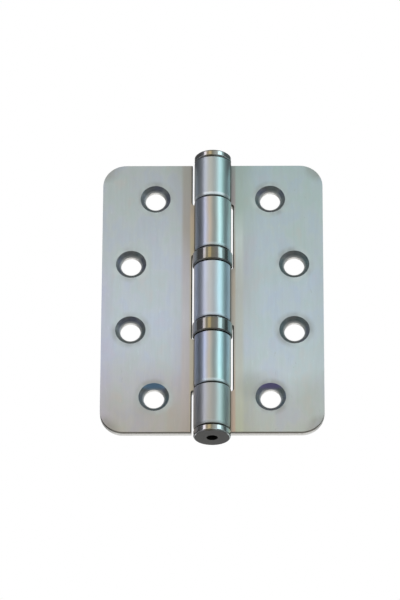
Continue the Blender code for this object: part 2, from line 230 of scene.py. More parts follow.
# Pairs are where a thing begins and ends, in metres, and a third value is its strength.
# Grains are in millimetres along x, y and z
sheetFinish = {
    "roughness": 0.46,
    "heights": (-0.039, 0.063),             # of the first and the last stop up the leaf
    "driftGrain": (15, 15, 28),
    "drift": 0.024,
    "cloudGrain": (9, 9, 14),
    "film": [(0.30, "#ddd2ee"), (0.42, "#cfdcf4"), (0.5, "#dce4ea"), (0.58, "#cfe4de"), (0.70, "#e0dcd0")],
    "filmStrength": 0.26,
    "rim": (0.032, 0.0375, 0.3),
    "rimHeights": (0.039, 0.017),
    "haze": (0.010, 0.0175),
    "bandsOfToneAndPaintedLight": {"besideBarrelFilmAndReflection": (0.0098, 0.0112, 0.8), "nearBarrelFilmAndReflection": (0.0074, 0.0082, 0.9)},
    "barrelInFront": 0.0065,                # the barrel's finish ends this far from the pin's axis in front
    "barrelBehind": 0.0078,
    "wanderGrain": (40, 40, 17),
    "wander": 0.35,
    "paintedEndHighlightHeight": 0.00085,               # of the painted highlight line's middle above a knuckle's lower end
    "paintedEndHighlight": (0.0002, 0.0006, "#eceeed"),
    "streakGrain": (1.1, 1.1, 13),          # as coarse as they need to show; real ones are about 0.05
    "fleckGrain": (0.7, 0.7, 3.2),
    "ring": (0.0054, 0.0076, 0.5),
    "ringTones": [(0.40, "#a4a79c"), (0.47, "#bfc4c0"), (0.53, "#cbd4d4"), (0.62, "#e2ecec")],
    "cornerDarkening": (0.0036, 0.0078, 0.55),
    "cornerDarkColour": "#9c968c",
    "rubGrain": (1.6, 1.6, 4.5),
    "rubs": (0.002, 0.0075),
    "rubColour": "#8f928c",
}


def brushedSheet(name, look):
    # 304 stainless sheet, linished along the pin and passivated: soft grey with faint clouds of colour,
    # bluer in the middle and warmer at the foot, with painted highlights and painted shade round the barrel
    f = sheetFinish
    material, tree, place = newMetal(name)
    part = addNode(tree, "ShaderNodeSeparateXYZ", {"Vector": place}).node.outputs
    x, y, z = part["X"], part["Y"], part["Z"]
    aside = addNode(tree, "ShaderNodeMath", {0: x}, operation="ABSOLUTE")
    flat = addNode(tree, "ShaderNodeCombineXYZ", {"X": x, "Y": y})
    fromPin = addNode(tree, "ShaderNodeVectorMath", {0: flat}, output="Value", operation="LENGTH")
    # the barrel meets the leaf at a line in front, and runs into it softly at the back
    barrelEnd = addNode(tree, "ShaderNodeMapRange", {
        "Value": y, "From Min": 0.002, "From Max": 0.004,
        "To Min": f["barrelInFront"], "To Max": f["barrelBehind"]})
    onBarrel = addNode(tree, "ShaderNodeMapRange", {
        "Value": fromPin, "From Min": barrelRadius + margin / 2, "From Max": barrelEnd,
        "To Min": 1, "To Max": 0}, interpolation_type="SMOOTHSTEP")

    # a slow drift of tone, so that the colours wander a few millimetres up and down
    drift = addNode(tree, "ShaderNodeTexNoise", {
        "Vector": addNode(tree, "ShaderNodeMapping", {"Vector": place, "Scale": grains(*f["driftGrain"])}),
        "Scale": 1, "Detail": 1.5})
    height = addNode(tree, "ShaderNodeMath", {0: drift, 1: f["drift"], 2: z}, operation="MULTIPLY_ADD")
    up = addNode(tree, "ShaderNodeMapRange", {
        "Value": height, "From Min": f["heights"][0], "From Max": f["heights"][1]})
    colour = addNode(tree, "ShaderNodeValToRGB", {"Fac": up}, stops=look["upTheLeaf"])

    # thin film hues in clouds of a centimetre or so: lilac, blue, sea green and straw
    clouds = addNode(tree, "ShaderNodeTexNoise", {
        "Vector": addNode(tree, "ShaderNodeMapping", {"Vector": place, "Scale": grains(*f["cloudGrain"])}),
        "Scale": 1, "Detail": 3, "Roughness": 0.6})
    film = addNode(tree, "ShaderNodeValToRGB", {"Fac": clouds}, stops=f["film"])
    colour = addNode(tree, "ShaderNodeMix", {
        0: f["filmStrength"], 6: colour, 7: film}, output=2, data_type="RGBA")

    # a lilac or sea green cast along the outer edge, which fades out towards the top
    start, end, strength = f["rim"]
    outer = addNode(tree, "ShaderNodeMapRange", {
        "Value": aside, "From Min": start, "From Max": end, "To Max": strength},
        interpolation_type="SMOOTHSTEP")
    below = addNode(tree, "ShaderNodeMapRange", {
        "Value": height, "From Min": f["rimHeights"][0], "From Max": f["rimHeights"][1]},
        interpolation_type="SMOOTHSTEP")
    colour = addNode(tree, "ShaderNodeMix", {
        0: addNode(tree, "ShaderNodeMath", {0: outer, 1: below}, operation="MULTIPLY"),
        6: colour, 7: hexColour(look["rim"])}, output=2, data_type="RGBA")

    # haze that fades off over the first centimetre and a half from the barrel
    spread = addNode(tree, "ShaderNodeMapRange", {
        "Value": aside, "From Min": f["haze"][0], "From Max": f["haze"][1], "To Min": 1, "To Max": 0},
        interpolation_type="SMOOTHSTEP")
    haze = addNode(tree, "ShaderNodeValToRGB", {"Fac": up}, stops=look["haze"])
    colour = addNode(tree, "ShaderNodeMix", {
        0: addNode(tree, "ShaderNodeMath", {0: spread, 1: haze.node.outputs["Alpha"]}, operation="MULTIPLY"),
        6: colour, 7: haze}, output=2, data_type="RGBA")

    # two narrower bands beside the barrel, where the sheet bends towards the pin: film colour with a painted
    # reflection and painted shade of that bend
    for key, (start, end, strength) in f["bandsOfToneAndPaintedLight"].items():
        band = addNode(tree, "ShaderNodeMapRange", {
            "Value": aside, "From Min": start, "From Max": end, "To Min": strength, "To Max": 0},
            interpolation_type="SMOOTHSTEP")
        colour = addNode(tree, "ShaderNodeMix", {
            0: band, 6: colour, 7: addNode(tree, "ShaderNodeValToRGB", {"Fac": up}, stops=look[key])},
            output=2, data_type="RGBA")

    # round the barrel the colour is painted highlight and painted shade in upright bands, by the way each
    # side faces, and each knuckle's tint sits a little differently
    wander = addNode(tree, "ShaderNodeTexNoise", {
        "Vector": addNode(tree, "ShaderNodeMapping", {"Vector": place, "Scale": grains(*f["wanderGrain"])}),
        "Scale": 1})
    frontwards = addNode(tree, "ShaderNodeMath", {0: y, 1: -1}, operation="MULTIPLY")
    bearing = addNode(tree, "ShaderNodeMath", {0: x, 1: frontwards}, operation="ARCTAN2")
    bearing = addNode(tree, "ShaderNodeMath", {
        0: wander, 1: f["wander"], 2: bearing}, operation="MULTIPLY_ADD")
    turned = addNode(tree, "ShaderNodeMapRange", {
        "Value": bearing, "From Min": f["wander"] / 2 - math.pi, "From Max": f["wander"] / 2 + math.pi})
    barrel = addNode(tree, "ShaderNodeMix", {
        0: 1, 6: addNode(tree, "ShaderNodeValToRGB", {"Fac": turned}, stops=look["paintedSheenRoundBarrel"]),
        7: addNode(tree, "ShaderNodeValToRGB", {"Fac": up}, stops=look["upTheBarrel"])},
        output=2, data_type="RGBA", blend_type="MULTIPLY")
    colour = addNode(tree, "ShaderNodeMix", {0: onBarrel, 6: colour, 7: barrel}, output=2, data_type="RGBA")

    # each knuckle's drawn-in lower end gets a painted highlight line, one stronger than another
    burnishedPaintedTone = 0.0
    start, end, light = f["paintedEndHighlight"]
    for knuckleEnd, strength in look["lowerEnds"]:
        above = addNode(tree, "ShaderNodeMath", {
            0: z, 1: knuckleEnd + f["paintedEndHighlightHeight"]}, operation="SUBTRACT")
        line = addNode(tree, "ShaderNodeMapRange", {
            "Value": addNode(tree, "ShaderNodeMath", {0: above}, operation="ABSOLUTE"),
            "From Min": start, "From Max": end, "To Min": strength, "To Max": 0})
        burnishedPaintedTone = addNode(tree, "ShaderNodeMath", {0: burnishedPaintedTone, 1: line}, operation="MAXIMUM")
    burnishedPaintedTone = addNode(tree, "ShaderNodeMath", {0: burnishedPaintedTone, 1: onBarrel}, operation="MULTIPLY")
    colour = addNode(tree, "ShaderNodeMix", {
        0: burnishedPaintedTone, 6: colour, 7: hexColour(light)}, output=2, data_type="RGBA")

    # linishing streaks, with a few brighter flecks
    streaks = addNode(tree, "ShaderNodeTexNoise", {
        "Vector": addNode(tree, "ShaderNodeMapping", {"Vector": place, "Scale": grains(*f["streakGrain"])}),
        "Scale": 1, "Detail": 4, "Roughness": 0.6})
    lift = addNode(tree, "ShaderNodeMapRange", {
        "Value": streaks, "From Min": 0.3, "From Max": 0.7, "To Min": 0.97, "To Max": 1.03})
    flecks = addNode(tree, "ShaderNodeTexNoise", {
        "Vector": addNode(tree, "ShaderNodeMapping", {"Vector": place, "Scale": grains(*f["fleckGrain"])}),
        "Scale": 1, "Detail": 2})
    lift = addNode(tree, "ShaderNodeMath", {0: lift, 1: addNode(tree, "ShaderNodeMapRange", {
        "Value": flecks, "From Min": 0.66, "From Max": 0.76, "To Max": 0.05})}, operation="ADD")
    colour = addNode(tree, "ShaderNodeMix", {
        0: 1, 6: colour, 7: lift}, output=2, data_type="RGBA", blend_type="MULTIPLY")

    # a ring of duller and brighter tone round each countersink, changing from place to place; none on the
    # back
    inFront = addNode(tree, "ShaderNodeMapRange", {
        "Value": y, "From Min": 0.002, "From Max": 0.0015, "To Max": 1})
    # all four quarters are folded on to one, so that two holes and one corner stand for all
    quarter = addNode(tree, "ShaderNodeCombineXYZ", {
        "X": aside, "Z": addNode(tree, "ShaderNodeMath", {0: z}, operation="ABSOLUTE")})
    start, end, strength = f["ring"]
    for holeX, holeZ in screwHole["places"][:2]:
        ring = spotRound(tree, quarter, (holeX, 0, holeZ), start, end, strength)
        ring = addNode(tree, "ShaderNodeMath", {0: ring, 1: inFront}, operation="MULTIPLY")
        tone = addNode(tree, "ShaderNodeValToRGB", {"Fac": clouds}, stops=f["ringTones"])
        colour = addNode(tree, "ShaderNodeMix", {0: ring, 6: colour, 7: tone}, output=2, data_type="RGBA")

    # the free corners are a little darker, in patches
    start, end, strength = f["cornerDarkening"]
    cornerDarkening = spotRound(tree, quarter, (leafSheet["width"], 0, leafTop), start, end, strength)
    cornerDarkening = addNode(tree, "ShaderNodeMath", {0: cornerDarkening, 1: addNode(tree, "ShaderNodeMapRange", {
        "Value": clouds, "From Min": 0.4, "From Max": 0.6, "To Min": 0.4})}, operation="MULTIPLY")
    colour = addNode(tree, "ShaderNodeMix", {
        0: cornerDarkening, 6: colour, 7: hexColour(f["cornerDarkColour"])}, output=2, data_type="RGBA")

    # short dark rubs, thickest over one lower screw hole, with a dull haze about them
    rubs = addNode(tree, "ShaderNodeTexNoise", {
        "Vector": addNode(tree, "ShaderNodeMapping", {"Vector": place, "Scale": grains(*f["rubGrain"])}),
        "Scale": 1, "Detail": 5, "Roughness": 0.68, "Distortion": 0.8})
    wornPlace = spotRound(tree, place, look["worn"], *f["rubs"], 1)
    worn = addNode(tree, "ShaderNodeMapRange", {
        "Value": rubs, "From Max": 0.74, "From Min": addNode(tree, "ShaderNodeMapRange", {
            "Value": wornPlace, "To Min": 0.66, "To Max": 0.54})}, interpolation_type="SMOOTHSTEP")
    soiled = addNode(tree, "ShaderNodeMath", {
        0: addNode(tree, "ShaderNodeMath", {0: worn, 1: 1.6 * look["wornStrength"]}, operation="MULTIPLY"),
        1: addNode(tree, "ShaderNodeMath", {0: wornPlace, 1: look["wornStrength"]}, operation="MULTIPLY")},
        operation="MAXIMUM")
    colour = addNode(tree, "ShaderNodeMix", {
        0: soiled, 6: colour, 7: hexColour(f["rubColour"])}, output=2, data_type="RGBA")

    rough = addNode(tree, "ShaderNodeMapRange", {
        "Value": onBarrel, "To Min": f["roughness"], "To Max": look["barrelRoughness"]})
    grooves = addNode(tree, "ShaderNodeMapRange", {
        "Value": streaks, "From Min": 0.3, "From Max": 0.7, "To Min": -0.02, "To Max": 0.03})
    rough = addNode(tree, "ShaderNodeMath", {0: rough, 1: grooves}, operation="ADD")
    rough = addNode(tree, "ShaderNodeMath", {0: worn, 1: 0.1, 2: rough}, operation="MULTIPLY_ADD")
    rough = addNode(tree, "ShaderNodeMath", {0: burnishedPaintedTone, 1: -0.12, 2: rough}, operation="MULTIPLY_ADD")
    return finishMetal(material, colour, rough, streaks, 0.2, 0.00001)


def grainedMetal(name, light, dark, roughness, grain, spread=0.06, bumpHeight=0.00001):
    # a plain finish with one grain to it: light and dark are its two tones, grain its size in millimetres
    material, tree, place = newMetal(name)
    pattern = addNode(tree, "ShaderNodeTexNoise", {
        "Vector": addNode(tree, "ShaderNodeMapping", {"Vector": place, "Scale": grains(grain, grain, grain)}),
        "Scale": 1, "Detail": 3, "Roughness": 0.6})
    colour = addNode(tree, "ShaderNodeValToRGB", {"Fac": pattern}, stops=[(0.32, dark), (0.68, light)])
    rough = addNode(tree, "ShaderNodeMapRange", {
        "Value": pattern, "From Min": 0.3, "From Max": 0.7,
        "To Min": roughness + spread, "To Max": roughness - spread})
    return finishMetal(material, colour, rough, pattern, 0.3, bumpHeight)


sheared = {
    # the burnished zone's dark is partly painted shade, and the torn zone's near white is partly painted
    # highlight
    "burnishedPaintedTone": "#5d594f",
    "tornAndPaintedHighlight": "#f3f2ee",
    "burnishedDepth": 0.0013,       # how far the punch slid before the sheet tore
    "change": 0.0005,
    "tearGrain": (0.5, 2.5, 0.5),
    "roughness": 0.44,
}


def shearedMetal(name):
    # the cut edge of punched sheet: dark and smooth where the punch slid, darkened further as painted shade,
    # and bright and torn beyond, lightened nearly to white as a painted highlight
    s = sheared
    material, tree, place = newMetal(name)
    depth = addNode(tree, "ShaderNodeSeparateXYZ", {"Vector": place}, output="Y")
    tears = addNode(tree, "ShaderNodeTexNoise", {
        "Vector": addNode(tree, "ShaderNodeMapping", {"Vector": place, "Scale": grains(*s["tearGrain"])}),
        "Scale": 1, "Detail": 3, "Roughness": 0.6})
    depth = addNode(tree, "ShaderNodeMath", {0: tears, 1: 0.0004, 2: depth}, operation="MULTIPLY_ADD")
    start = leafSheet["frontFace"] + s["burnishedDepth"]
    zone = addNode(tree, "ShaderNodeMapRange", {
        "Value": depth, "From Min": start, "From Max": start + s["change"]})
    colour = addNode(tree, "ShaderNodeValToRGB", {"Fac": zone}, stops=[
        (0.0, s["burnishedPaintedTone"]), (1.0, s["tornAndPaintedHighlight"])])
    shade = addNode(tree, "ShaderNodeMapRange", {
        "Value": tears, "From Min": 0.3, "From Max": 0.7, "To Min": 0.94, "To Max": 1.04})
    colour = addNode(tree, "ShaderNodeMix", {
        0: 1, 6: colour, 7: shade}, output=2, data_type="RGBA", blend_type="MULTIPLY")
    rough = addNode(tree, "ShaderNodeMapRange", {
        "Value": zone, "To Min": s["roughness"], "To Max": s["roughness"] + 0.12})
    return finishMetal(material, colour, rough, tears, 0.3, 0.00002)


drilled = {
    "light": "#b7babb",
    "dark": "#959a9d",
    "neck": "#f8faf8",
    "paintedNeckLightDepth": 0.0007,            # of the painted highlight zone at the cone's neck
    "filmLeft": "#9ccbf2",
    "filmRight": "#a39ad8",
    "filmStarts": (-0.0351, -0.0336),       # heights on the leaf between which the film sets in
    "filmEnds": (-0.030, -0.025),           # and is gone again
    "filmStrength": 0.85,
    "ringGrain": (1.8, 0.22, 1.8),
    "roughness": 0.42,
}


def drilledMetal(name):
    # stainless cut with a cone drill after passivation: slate grey, with the drill's rings and a bluish cast
    d = drilled
    material, tree, place = newMetal(name)
    part = addNode(tree, "ShaderNodeSeparateXYZ", {"Vector": place}).node.outputs
    rings = addNode(tree, "ShaderNodeTexNoise", {
        "Vector": addNode(tree, "ShaderNodeMapping", {"Vector": place, "Scale": grains(*d["ringGrain"])}),
        "Scale": 1, "Detail": 3, "Roughness": 0.6})
    colour = addNode(tree, "ShaderNodeValToRGB", {"Fac": rings}, stops=[
        (0.32, d["dark"]), (0.68, d["light"])])
    clouds = addNode(tree, "ShaderNodeTexNoise", {
        "Vector": addNode(tree, "ShaderNodeMapping", {"Vector": place, "Scale": grains(7, 7, 7)}),
        "Scale": 1})
    tint = addNode(tree, "ShaderNodeValToRGB", {"Fac": clouds}, stops=[
        (0.36, "#d9dcf2"), (0.5, "#f4f6f2"), (0.64, "#d6e8ea")])
    colour = addNode(tree, "ShaderNodeMix", {
        0: 1, 6: colour, 7: tint}, output=2, data_type="RGBA", blend_type="MULTIPLY")

    # a painted highlight lightens the cone towards its neck, where light shows through the hole
    neck = leafSheet["frontFace"] + screwHole["countersinkDepth"]
    paintedNeckLight = addNode(tree, "ShaderNodeMapRange", {
        "Value": part["Y"], "From Min": neck - d["paintedNeckLightDepth"], "From Max": neck - margin, "To Max": 0.75},
        interpolation_type="SMOOTHSTEP")
    colour = addNode(tree, "ShaderNodeMix", {
        0: paintedNeckLight, 6: colour, 7: hexColour(d["neck"])}, output=2, data_type="RGBA")

    # a thin film at the top of the two lowest holes, blue in the left one and violet in the right one
    low = addNode(tree, "ShaderNodeMapRange", {
        "Value": part["Z"], "From Min": d["filmStarts"][0], "From Max": d["filmStarts"][1]},
        interpolation_type="SMOOTHSTEP")
    low = addNode(tree, "ShaderNodeMath", {0: low, 1: addNode(tree, "ShaderNodeMapRange", {
        "Value": part["Z"], "From Min": d["filmEnds"][0], "From Max": d["filmEnds"][1],
        "To Min": d["filmStrength"], "To Max": 0})}, operation="MULTIPLY")
    side = addNode(tree, "ShaderNodeMapRange", {"Value": part["X"], "From Min": -0.001, "From Max": 0.001})
    film = addNode(tree, "ShaderNodeValToRGB", {"Fac": side}, stops=[
        (0.0, d["filmLeft"]), (1.0, d["filmRight"])])
    colour = addNode(tree, "ShaderNodeMix", {0: low, 6: colour, 7: film}, output=2, data_type="RGBA")
    rough = addNode(tree, "ShaderNodeMapRange", {
        "Value": rings, "From Min": 0.3, "From Max": 0.7,
        "To Min": d["roughness"] + 0.06, "To Max": d["roughness"] - 0.06})
    return finishMetal(material, colour, rough, rings, 0.3, 0.00001)


def turnedMetal(name, bandsOfToneAndPaintedLight, roughness, grooveWidth):
    # a finish left by a lathe: fine rings round the pin's axis, on the side and on the end face,
    # with colour that goes round the piece in bands by the way each side faces, painted highlight and painted
    # shade where the bands differ; grooveWidth is in millimetres
    wander = 0.3
    material, tree, place = newMetal(name)
    part = addNode(tree, "ShaderNodeSeparateXYZ", {"Vector": place}).node.outputs
    flat = addNode(tree, "ShaderNodeCombineXYZ", {"X": part["X"], "Y": part["Y"]})
    fromPin = addNode(tree, "ShaderNodeVectorMath", {0: flat}, output="Value", operation="LENGTH")
    along = addNode(tree, "ShaderNodeCombineXYZ", {"X": fromPin, "Y": part["Z"]})
    rings = addNode(tree, "ShaderNodeTexNoise", {
        "Vector": addNode(tree, "ShaderNodeMapping", {
            "Vector": along, "Scale": grains(grooveWidth, grooveWidth, 1)}), "Scale": 1, "Detail": 2})
    frontwards = addNode(tree, "ShaderNodeMath", {0: part["Y"], 1: -1}, operation="MULTIPLY")
    bearing = addNode(tree, "ShaderNodeMath", {0: part["X"], 1: frontwards}, operation="ARCTAN2")
    clouds = addNode(tree, "ShaderNodeTexNoise", {
        "Vector": addNode(tree, "ShaderNodeMapping", {"Vector": place, "Scale": grains(5, 5, 5)}),
        "Scale": 1})
    bearing = addNode(tree, "ShaderNodeMath", {0: clouds, 1: wander, 2: bearing}, operation="MULTIPLY_ADD")
    turned = addNode(tree, "ShaderNodeMapRange", {
        "Value": bearing, "From Min": wander / 2 - math.pi, "From Max": wander / 2 + math.pi})
    lift = addNode(tree, "ShaderNodeMapRange", {
        "Value": rings, "From Min": 0.3, "From Max": 0.7, "To Min": 0.93, "To Max": 1.03})
    colour = addNode(tree, "ShaderNodeMix", {
        0: 1, 6: addNode(tree, "ShaderNodeValToRGB", {"Fac": turned}, stops=bandsOfToneAndPaintedLight),
        7: lift}, output=2, data_type="RGBA", blend_type="MULTIPLY")
    rough = addNode(tree, "ShaderNodeMapRange", {
        "Value": rings, "From Min": 0.3, "From Max": 0.7,
        "To Min": roughness + 0.03, "To Max": roughness - 0.02})
    return finishMetal(material, colour, rough, rings, 0.2, 0.000006)


leafSheet = {
    "width": 0.038,
    "thickness": 0.003,
    "frontFace": 0.001,         # the flat face stands this far behind the pin's axis
    "cornerRadius": 0.008,
    "bendStart": 0.0014,
    "bendRadius": 0.0027,       # of the sheet's middle in both bends that lead it behind the pin
    "curlGap": 0.0003,          # left between the curl's end and the leaf's own front
    "bendSteps": 12,
    "curlSteps": 78,
    "notchEdge": 0.00697,
    "notchFillet": 0.0009,
    "notchRollOver": 0.00045,   # the front edge that the punch drew in
    "rollOverTurns": (0, 18, 36, 54, 72),
    "cutterReach": 0.01,        # of the notch cutter past the barrel
    "taperLength": 0.0013,      # each knuckle's lower end is drawn in a little by the curling tool
    "taperDepth": 0.0002,
    "taperShareShaded": 0.85,
    "lowerRim": 0.0004,         # rounding of each knuckle's outside edges
    "upperRim": 0.0003,
    "edgeRounding": 0.00002,    # of all the other edges, which are nearly sharp
}
screwHole = {
    "radius": 0.0035,
    "countersinkDepth": 0.0017,
    "places": [(0.0198, 0.0379), (0.028, 0.0126), (0.028, -0.0126), (0.0198, -0.0379)],
    "cutterReach": 0.0006,      # of the drill in front of the leaf
    "steps": 72,
}

leftSheet = brushedSheet("brushedStainlessLeft", leftLook)
rightSheet = brushedSheet("brushedStainlessRight", rightLook)
shearedEdge = shearedMetal("shearedStainless")
drilledCone = drilledMetal("drilledStainless")
# turned stainless of the pin's head and the plug: bright and smooth, with painted highlights left and right,
# and straw coloured in front, partly film and partly painted reflection
turnedCap = turnedMetal("turnedStainless", [
    (0.0, "#a4a6a4"), (0.38, "#a8a8aa"), (0.42, "#dcdce2"), (0.46, "#b4a890"),
    (0.50, "#a49e88"), (0.55, "#d6e0e0"), (0.60, "#b4c0c0"), (1.0, "#a8aaa8")], 0.15, 0.3)
# the plug's flat end, faced off roughly and matt, painted dark grey as painted shade because it faces down
facedEndInPaintedShade = turnedMetal("facedStainless", [(0.0, "#545452"), (1.0, "#515151")], 0.5, 0.3)
# the head's top, faced off cleanly: fine rings, light grey and satin
facedHead = turnedMetal("facedHead", [(0.0, "#c3c5c4"), (1.0, "#bfc1c0")], 0.24, 0.3)
# ground pin shank: even grey, hardly any grain
groundShank = turnedMetal("groundStainless", [(0.0, "#b9bcbd"), (1.0, "#bcbdbd")], 0.24, 1.4)
# bearing shells, drawn and polished: mirror bright, with painted highlights left and right and painted shade
# beside them, and straw to olive in front, partly film and partly painted reflection
polishedRing = turnedMetal("polishedStainless", [
    (0.0, "#929290"), (0.36, "#949492"), (0.41, "#aaa9ac"), (0.45, "#9e9886"), (0.485, "#9d957a"),
    (0.53, "#989690"), (0.57, "#aab6b6"), (0.62, "#858f8e"), (1.0, "#929290")], 0.12, 0.2)
# ground and hardened bearing steel: light grey, with rings too fine to tell apart
groundRace = turnedMetal("groundBearingSteel", [(0.0, "#bdbfbf"), (1.0, "#bbbebf")], 0.17, 0.1)
# cage pressed from thin sheet: matt, faintly yellow
pressedCage = grainedMetal("pressedCageSteel", "#a39f94", "#8a867c", 0.42, 0.5)
# lapped bearing balls: nearly a mirror
bearingBall = grainedMetal(
    "lappedBallSteel", "#cccfd1", "#c2c5c7", 0.08, 0.6, spread=0.02, bumpHeight=0.000002)
print("finishes mixed")


def rollStrip(name):
    # a flat strip, led back by two bends and then curled round the pin
    s = leafSheet
    half = s["thickness"] / 2
    faceMiddle = s["frontFace"] + half
    barrelMiddle = boreRadius + half
    bend = math.acos(1 - (barrelMiddle - faceMiddle) / (2 * s["bendRadius"]))
    firstBend = (s["bendStart"], barrelMiddle - s["bendRadius"], 0)
    flatStart = s["bendStart"] + 2 * s["bendRadius"] * math.sin(bend)
    secondBend = (flatStart, faceMiddle + s["bendRadius"], 0)
    reach = math.hypot(secondBend[0], secondBend[1])
    apart = s["bendRadius"] + half + s["curlGap"]
    spread = math.acos((barrelRadius ** 2 + reach ** 2 - apart ** 2) / (2 * barrelRadius * reach))
    curl = math.radians(270) + math.atan2(secondBend[1], secondBend[0]) - spread

    letGo()
    bpy.ops.mesh.primitive_cube_add(size=1, location=((flatStart + s["width"]) / 2, faceMiddle, 0))
    strip = bpy.context.object
    strip.name = name
    strip.scale = (s["width"] - flatStart, s["thickness"], 2 * leafTop)
    settle()
    bpy.ops.object.mode_set(mode="EDIT")
    chooseFaces(lambda centre, normal: normal.x < -0.9)
    bpy.ops.mesh.spin(steps=s["bendSteps"], angle=bend, center=secondBend, axis=(0, 0, 1))
    bpy.ops.mesh.spin(steps=s["bendSteps"], angle=-bend, center=firstBend, axis=(0, 0, 1))
    bpy.ops.mesh.extrude_region_move(TRANSFORM_OT_translate={"value": (-s["bendStart"], 0, 0)})
    bpy.ops.mesh.spin(steps=s["curlSteps"], angle=-curl, center=(0, 0, 0), axis=(0, 0, 1))
    # the two free corners
    chooseEdges(lambda a, b: close(a.x, s["width"]) and close(b.x, s["width"]) and close(a.z, b.z)
                and close(abs(a.z), leafTop))
    bpy.ops.mesh.bevel(offset=s["cornerRadius"], segments=18, affect="EDGES")
    mergeDoubles()
    bpy.ops.mesh.normals_make_consistent(inside=False)
    bpy.ops.object.mode_set(mode="OBJECT")
    return strip


def notchCutter(low, high):
    # a block with two rounded edges, and flared in front where the punch draws the sheet's edge in
    s = leafSheet
    edge, flare, reach = s["notchEdge"], s["notchRollOver"], s["cutterReach"]
    start = s["frontFace"] + flare
    letGo()
    bpy.ops.mesh.primitive_cube_add(
        size=1, location=((edge - reach) / 2, (start + reach) / 2, (low + high) / 2))
    cutter = bpy.context.object
    cutter.scale = (edge + reach, reach - start, high - low)
    settle()
    bpy.ops.object.mode_set(mode="EDIT")
    chooseEdges(lambda a, b: close(a.x, edge) and close(b.x, edge) and close(a.z, b.z))
    bpy.ops.mesh.bevel(offset=s["notchFillet"], segments=5, affect="EDGES")
    chooseFaces(lambda centre, normal: normal.y < -0.9)
    turns = [math.radians(turn) for turn in s["rollOverTurns"]]
    for a, b in zip(turns, turns[1:]):
        bpy.ops.mesh.extrude_region_move(TRANSFORM_OT_translate={"value": (
            flare * (math.cos(a) - math.cos(b)), flare * (math.sin(a) - math.sin(b)), 0)})
    # straight on until just in front of the leaf, then clear of the barrel
    out = flare * (1 - math.sin(turns[-1])) + margin / 2
    bpy.ops.mesh.extrude_region_move(TRANSFORM_OT_translate={"value": (out * math.tan(turns[-1]), -out, 0)})
    bpy.ops.mesh.extrude_region_move(TRANSFORM_OT_translate={"value": (0, -reach, 0)})
    bpy.ops.object.mode_set(mode="OBJECT")
    return cutter


def screwHoleCutter(x, z):
    # a cone at the front that runs on as a round hole through the sheet
    s, h = leafSheet, screwHole
    front, neck = s["frontFace"] - h["cutterReach"], s["frontFace"] + h["countersinkDepth"]
    letGo()
    bpy.ops.mesh.primitive_cone_add(
        vertices=h["steps"], radius1=h["radius"] + h["countersinkDepth"] + h["cutterReach"],
        radius2=h["radius"], depth=neck - front, location=(x, (front + neck) / 2, z),
        rotation=(-math.pi / 2, 0, 0))
    cutter = bpy.context.object
    settle()
    bpy.ops.object.mode_set(mode="EDIT")
    chooseFaces(lambda centre, normal: normal.y > 0.9)
    bpy.ops.mesh.extrude_region_move(TRANSFORM_OT_translate={"value": (0, s["thickness"], 0)})
    bpy.ops.object.mode_set(mode="OBJECT")
    return cutter


def makeLeaf(name, side, knuckles, notches, sheet):
    s, h = leafSheet, screwHole
    made = rollStrip(name)
    for low, high in notches:
        cutWith(made, notchCutter(low, high))
    for x, z in h["places"]:
        cutWith(made, screwHoleCutter(x, z))
    for finish in (sheet, shearedEdge, drilledCone):
        made.data.materials.append(finish)
    takeUp(made)
    bpy.ops.object.mode_set(mode="EDIT")
    mergeDoubles(cutMergeDistance)
    bpy.ops.mesh.dissolve_limited(angle_limit=flatAngle)

    def onCutEdge(c, n):
        # knuckle ends, notches and outline, and the holes behind the cones
        upright = abs(n.y) < 0.05 and (abs(n.z) > 0.05 or c.x > s["notchEdge"] - margin)
        return upright or (n.y > -0.98 and c.y < s["frontFace"] + s["notchRollOver"]
                           and -s["notchFillet"] < c.x - s["notchEdge"] < s["notchRollOver"])

    def onCone(c, n):
        rim = h["radius"] + h["countersinkDepth"] + margin
        return (abs(n.y) < 0.95 and c.y < s["frontFace"] + h["countersinkDepth"]
                and any(math.hypot(c.x - x, c.z - z) < rim for x, z in h["places"]))

    finishFaces(made, 1, onCutEdge)
    finishFaces(made, 2, onCone)

    def onRim(p, end):
        return close(p.z, end) and close(math.hypot(p.x, p.y), barrelRadius)

    bpy.ops.object.mode_set(mode="EDIT")
    for low, high in knuckles:
        # the lower end is drawn in over its last millimetre, then both outside edges are rounded
        chooseFaces(lambda c, n: low < c.z < high and close(math.hypot(c.x, c.y), barrelRadius, margin / 2))
        bpy.ops.mesh.bisect(plane_co=(0, 0, low + s["taperLength"]), plane_no=(0, 0, 1))
        chooseEdges(lambda a, b: onRim(a, low) and onRim(b, low))
        shrink = 1 - s["taperDepth"] / barrelRadius
        bpy.ops.transform.resize(value=(shrink, shrink, 1), center_override=(0, 0, low))
        bpy.ops.mesh.bevel(offset=s["lowerRim"], segments=4, affect="EDGES", clamp_overlap=False)
        # one more cut keeps the taper's shading off the straight barrel
        chooseFaces(lambda c, n: low < c.z < low + s["taperLength"] and n.z < -0.05
                    and math.hypot(c.x, c.y) > barrelRadius - s["taperDepth"] - margin)
        bpy.ops.mesh.bisect(
            plane_co=(0, 0, low + s["taperLength"] * s["taperShareShaded"]), plane_no=(0, 0, 1))
        chooseEdges(lambda a, b: onRim(a, high) and onRim(b, high))
        bpy.ops.mesh.bevel(offset=s["upperRim"], segments=3, affect="EDGES", clamp_overlap=False)
    if side < 0:
        bpy.ops.mesh.select_all(action="SELECT")
        bpy.ops.transform.resize(value=(-1, 1, 1), center_override=(0, 0, 0))
        bpy.ops.mesh.normals_make_consistent(inside=False)
    bpy.ops.object.mode_set(mode="OBJECT")
    useModifier(made, "BEVEL", limit_method="ANGLE", angle_limit=math.radians(42), width=s["edgeRounding"],
                segments=2, use_clamp_overlap=False, miter_outer="MITER_ARC")
    smoothOff(made, 38)
    return made


